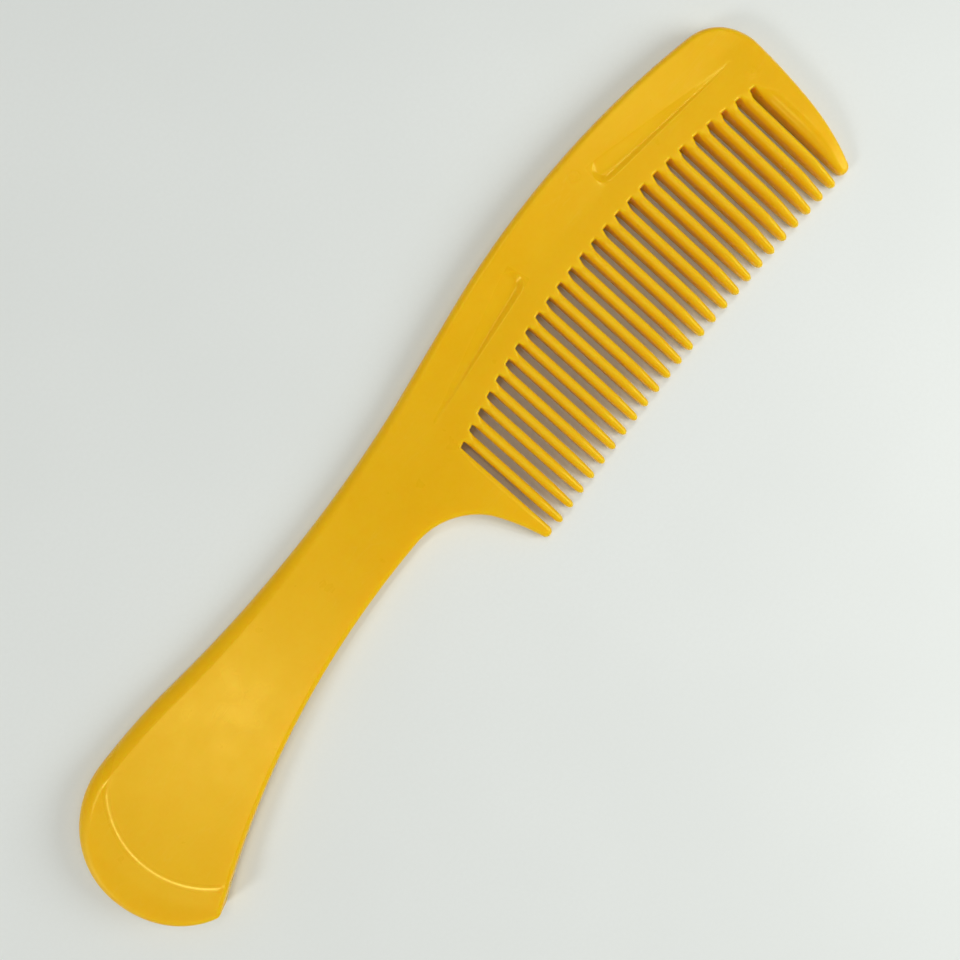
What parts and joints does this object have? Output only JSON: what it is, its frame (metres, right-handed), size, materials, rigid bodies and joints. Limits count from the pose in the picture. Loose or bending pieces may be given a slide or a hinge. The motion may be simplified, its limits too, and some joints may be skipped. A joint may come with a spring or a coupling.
{
  "type": "handle comb",
  "caption": "Coarse-toothed comb with a curved spine, a slim neck and a long flared handle with a raised end lip.",
  "frame": {"origin": "centre of the comb's bounding box, on the flat underside", "axes": "+X along the comb from the handle to the free end, +Y from the teeth to the back of the spine, +Z from the underside to the face"},
  "size_m": [0.2136, 0.0488, 0.007],
  "materials": {
    "body": "semi-gloss yellow polypropylene"
  },
  "bodies": {
    "root": {"handle_end_lip": "body", "handle_grip": "body", "neck": "body", "spine": "body", "heel_guard": "body", "toe_guard": "body", "tooth_01": "body", "tooth_02": "body", "tooth_03": "body", "tooth_04": "body", "tooth_05": "body", "tooth_06": "body", "tooth_07": "body", "tooth_08": "body", "tooth_09": "body", "tooth_10": "body", "tooth_11": "body", "tooth_12": "body", "tooth_13": "body", "tooth_14": "body", "tooth_15": "body", "tooth_16": "body", "tooth_17": "body", "tooth_18": "body", "tooth_19": "body", "tooth_20": "body", "tooth_21": "body", "tooth_22": "body", "tooth_23": "body", "tooth_24": "body", "tooth_25": "body"}
  },
  "joints": []
}
